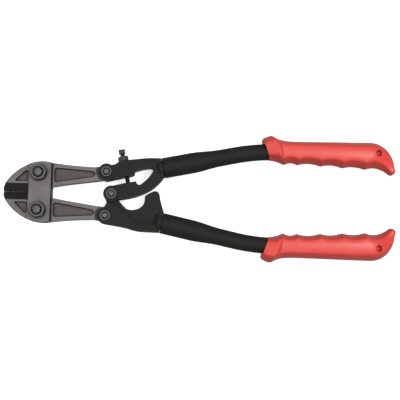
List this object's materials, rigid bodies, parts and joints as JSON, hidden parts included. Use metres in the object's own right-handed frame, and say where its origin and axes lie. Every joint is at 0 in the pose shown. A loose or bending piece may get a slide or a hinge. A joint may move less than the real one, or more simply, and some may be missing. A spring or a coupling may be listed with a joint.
{
  "type": "bolt cutters",
  "caption": "Compact compound-lever bolt cutters: two forged jaws between straps, two black levers with tapered tubes and red vinyl grips, and a set screw for blade clearance.",
  "frame": {"origin": "centre of the bounding box in X and Y, on the surface that the closed tool lies on", "axes": "+X from the jaws to the grips, +Y towards the handle with the adjusting screw, +Z out of the front face with the nuts"},
  "size_m": [0.3572, 0.1168, 0.0297],
  "materials": {
    "forged_steel": "phosphated forged steel, ground faces, satin",
    "plated_steel": "dull plated steel",
    "blackened_steel": "blackened steel, satin",
    "black_lever_paint": "black powder coat, satin",
    "black_tube_paint": "black powder coat, satin",
    "red_vinyl": "dipped red vinyl, semi-gloss"
  },
  "bodies": {
    "head": {"front_strap": "forged_steel", "rear_strap": "forged_steel", "upper_jaw_bolt": "plated_steel", "lower_jaw_bolt": "plated_steel", "upper_jaw_nut": "plated_steel", "lower_jaw_nut": "plated_steel"},
    "upper_jaw": {"upper_jaw": "forged_steel"},
    "lower_jaw": {"lower_jaw": "forged_steel"},
    "upper_handle": {"upper_lever": "black_lever_paint", "upper_tube": "black_tube_paint", "upper_grip": "red_vinyl", "upper_link_pin": "plated_steel", "upper_link_front_washer": "plated_steel", "upper_link_rear_washer": "plated_steel", "handle_pivot_pin": "plated_steel", "handle_pivot_front_washer": "plated_steel", "handle_pivot_rear_washer": "plated_steel"},
    "lower_handle": {"lower_lever": "black_lever_paint", "lower_tube": "black_tube_paint", "lower_grip": "red_vinyl", "lower_link_pin": "plated_steel", "lower_link_front_washer": "plated_steel", "lower_link_rear_washer": "plated_steel"},
    "adjusting_screw": {"adjusting_screw": "blackened_steel"},
    "adjusting_locknut": {"adjusting_locknut": "blackened_steel"}
  },
  "joints": [
    {"name": "upper_jaw_hinge", "type": "hinge", "parent": "head", "child": "upper_jaw", "pos_m": [-0.1466, 0.01675, 0.0126], "axis": [0, 0, 1], "range_deg": [-8, 0]},
    {"name": "upper_handle_hinge", "type": "hinge", "parent": "upper_jaw", "child": "upper_handle", "pos_m": [-0.087, 0.0199, 0.0126], "axis": [0, 0, 1], "range_deg": [0, 50]},
    {"name": "lower_jaw_hinge", "type": "hinge", "parent": "head", "child": "lower_jaw", "pos_m": [-0.1466, -0.01675, 0.0126], "axis": [0, 0, -1], "range_deg": [-8, 0]},
    {"name": "lower_handle_hinge", "type": "hinge", "parent": "lower_jaw", "child": "lower_handle", "pos_m": [-0.087, -0.0199, 0.0126], "axis": [0, 0, -1], "range_deg": [0, 50]},
    {"name": "adjusting_screw_turn", "type": "hinge", "parent": "upper_handle", "child": "adjusting_screw", "pos_m": [-0.0675, 0.0108, 0.0126], "axis": [-0.2198, 0.9755, 0], "continuous": true},
    {"name": "adjusting_locknut_turn", "type": "hinge", "parent": "upper_handle", "child": "adjusting_locknut", "pos_m": [-0.0675, 0.0108, 0.0126], "axis": [-0.2198, 0.9755, 0], "continuous": true}
  ],
  "couplings": [
    {"joint": "upper_jaw_hinge", "follows": "upper_handle_hinge", "ratio": -0.155},
    {"joint": "lower_jaw_hinge", "follows": "upper_handle_hinge", "ratio": -0.155},
    {"joint": "lower_handle_hinge", "follows": "upper_handle_hinge", "ratio": 1}
  ]
}
